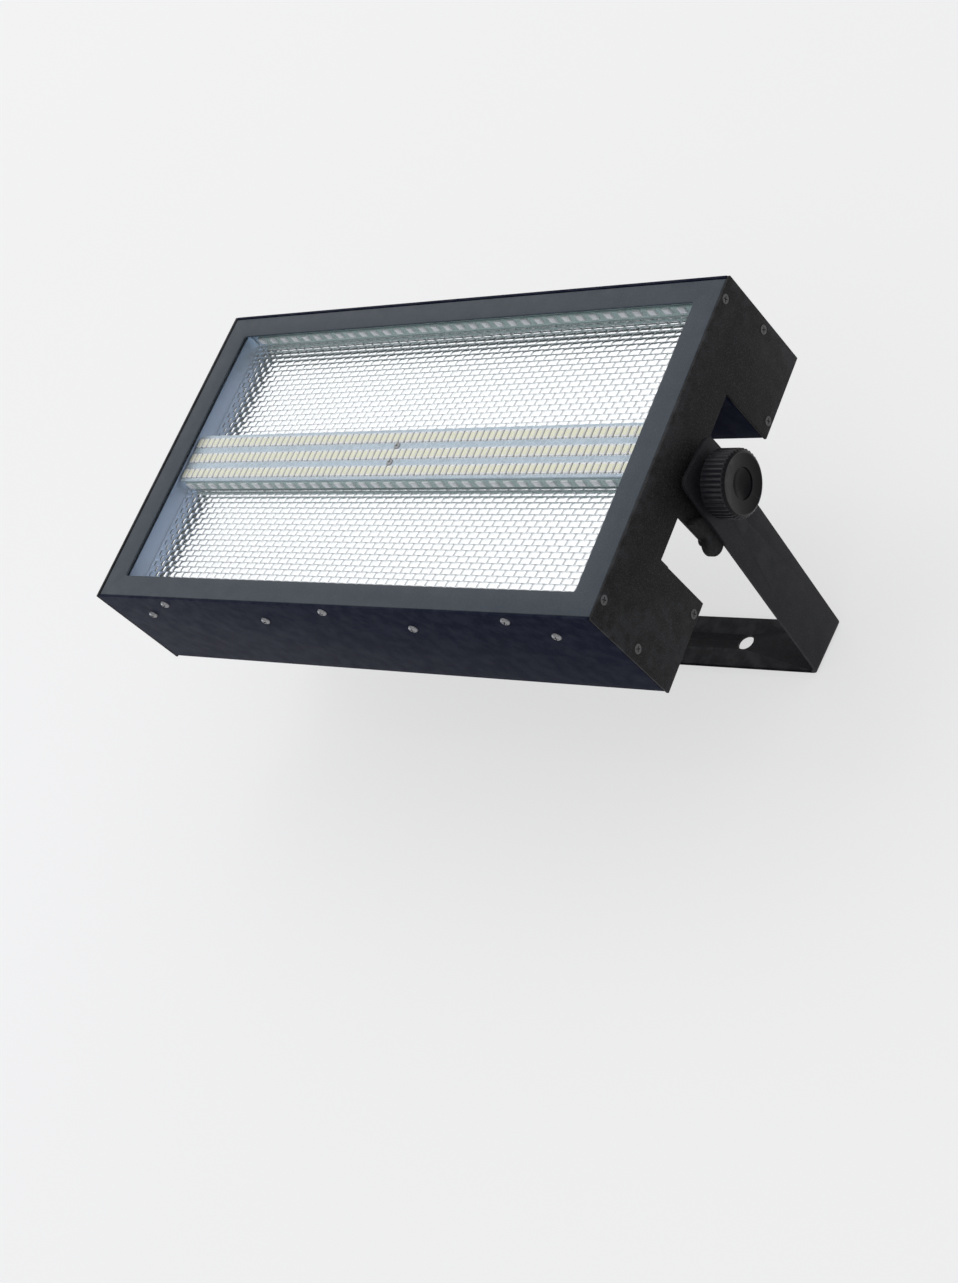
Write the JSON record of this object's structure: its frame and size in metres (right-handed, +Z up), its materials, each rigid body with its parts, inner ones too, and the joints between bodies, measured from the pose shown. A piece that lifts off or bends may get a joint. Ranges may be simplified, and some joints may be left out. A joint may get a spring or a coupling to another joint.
{
  "type": "strobe light",
  "caption": "Rectangular LED strobe light: rows of white LEDs on a bar between hammered reflectors behind glass, in a black sheet-metal head that tilts in a strip yoke with two clamp knobs.",
  "frame": {"origin": "on the surface it stands on, under the middle of the crossbar's outer face", "axes": "+X along the width and the tilt axis, +Y across the yoke strip towards the head's upper long side, +Z up from the crossbar to the window"},
  "size_m": [0.4804, 0.235, 0.2096],
  "materials": {
    "yoke_paint": "fine-textured black powder coat",
    "case_paint": "fine-textured black powder coat",
    "side_paint": "fine-textured black powder coat",
    "bezel_paint": "fine-textured black powder coat, satin",
    "gasket_rubber": "matt",
    "window_glass": "clear float glass",
    "reflector_sheet": "hammered bright aluminium",
    "reflector_end_sheet": "plain bright aluminium",
    "lamp_bar_sheet": "satin",
    "white_led": "cream phosphor on a white board",
    "colour_led": "white packages on a white strip",
    "heat_sink_aluminium": "extruded, mill finish",
    "zinc_steel": "zinc plated",
    "friction_rubber": "matt fibre-filled",
    "knob_plastic": "satin moulded nylon",
    "buffer_rubber": "matt",
    "fan_plastic": "moulded",
    "guard_steel": "black plated wire",
    "panel_plastic": "moulded",
    "display_screen": "glossy, dark",
    "circuit_board": "solder mask",
    "key_plastic": "moulded",
    "power_in_plastic": "moulded",
    "power_out_plastic": "moulded",
    "supply_sheet": "plain sheet"
  },
  "bodies": {
    "yoke": {"yoke": "yoke_paint"},
    "head": {"upper_cover": "case_paint", "lower_cover": "case_paint", "recess_panel": "case_paint", "side_plate_right": "side_paint", "side_plate_left": "side_paint", "front_bezel": "bezel_paint", "glass_gasket": "gasket_rubber", "window_glass": "window_glass", "reflector_upper": "reflector_sheet", "reflector_lower": "reflector_sheet", "reflector_end_right": "reflector_end_sheet", "reflector_end_left": "reflector_end_sheet", "lamp_bar": "lamp_bar_sheet", "white_led_board": "white_led", "colour_strip_top": "colour_led", "colour_strip_bar_top": "colour_led", "colour_strip_bar_under": "colour_led", "colour_strip_bottom": "colour_led", "heat_sink": "heat_sink_aluminium", "pivot_nut_right": "zinc_steel", "pivot_nut_left": "zinc_steel", "friction_washer_right": "friction_rubber", "friction_washer_left": "friction_rubber", "ear_buffer_right": "buffer_rubber", "ear_buffer_left": "buffer_rubber", "fan_frame_right": "fan_plastic", "fan_frame_left": "fan_plastic", "fan_guard_right": "guard_steel", "fan_guard_left": "guard_steel", "display_frame": "panel_plastic", "display_glass": "display_screen", "control_board": "circuit_board", "power_in_socket": "power_in_plastic", "power_out_socket": "power_out_plastic", "data_in_socket": "panel_plastic", "data_out_socket": "panel_plastic", "fuse_holder": "panel_plastic", "power_supply": "supply_sheet", "lamp_driver": "circuit_board"},
    "knob_assembly_right": {"knob_right": "knob_plastic", "knob_stud_right": "zinc_steel", "knob_washer_right": "zinc_steel"},
    "knob_assembly_left": {"knob_left": "knob_plastic", "knob_stud_left": "zinc_steel", "knob_washer_left": "zinc_steel"},
    "fan_right": {"fan_rotor_right": "fan_plastic"},
    "fan_left": {"fan_rotor_left": "fan_plastic"},
    "key_1": {"menu_key_1": "key_plastic"},
    "key_2": {"menu_key_2": "key_plastic"},
    "key_3": {"menu_key_3": "key_plastic"},
    "key_4": {"menu_key_4": "key_plastic"},
    "latch": {"data_out_latch": "zinc_steel"},
    "fuse_cap": {"fuse_cap": "panel_plastic"}
  },
  "joints": [
    {"name": "head_tilt", "type": "hinge", "parent": "yoke", "child": "head", "pos_m": [0, 0, 0.1538], "axis": [1, 0, 0], "range_deg": [-106.9, 93.1]},
    {"name": "knob_turn_right", "type": "hinge", "parent": "head", "child": "knob_assembly_right", "pos_m": [0.23, 0, 0.1538], "axis": [1, 0, 0], "continuous": true},
    {"name": "knob_turn_left", "type": "hinge", "parent": "head", "child": "knob_assembly_left", "pos_m": [-0.23, 0, 0.1538], "axis": [-1, 0, 0], "continuous": true},
    {"name": "fan_spin_right", "type": "hinge", "parent": "head", "child": "fan_right", "pos_m": [0.145, 0.08731, 0.13566], "axis": [0, -0.1201, 0.9928], "continuous": true},
    {"name": "fan_spin_left", "type": "hinge", "parent": "head", "child": "fan_left", "pos_m": [-0.145, 0.08731, 0.13566], "axis": [0, -0.1201, 0.9928], "continuous": true},
    {"name": "key_1_press", "type": "slide", "parent": "head", "child": "key_1", "axis": [0, -0.1201, 0.9928], "range_m": [0, 0.001], "stiffness_N_per_m": 600, "springref_m": -0.001},
    {"name": "key_2_press", "type": "slide", "parent": "head", "child": "key_2", "axis": [0, -0.1201, 0.9928], "range_m": [0, 0.001], "stiffness_N_per_m": 600, "springref_m": -0.001},
    {"name": "key_3_press", "type": "slide", "parent": "head", "child": "key_3", "axis": [0, -0.1201, 0.9928], "range_m": [0, 0.001], "stiffness_N_per_m": 600, "springref_m": -0.001},
    {"name": "key_4_press", "type": "slide", "parent": "head", "child": "key_4", "axis": [0, -0.1201, 0.9928], "range_m": [0, 0.001], "stiffness_N_per_m": 600, "springref_m": -0.001},
    {"name": "latch_press", "type": "slide", "parent": "head", "child": "latch", "axis": [0, -0.9928, -0.1201], "range_m": [0, 0.0009], "stiffness_N_per_m": 600, "springref_m": -0.001},
    {"name": "fuse_cap_turn", "type": "hinge", "parent": "head", "child": "fuse_cap", "pos_m": [-0.09, -0.07929, 0.10563], "axis": [0, -0.1201, 0.9928], "range_deg": [0, 90]}
  ]
}
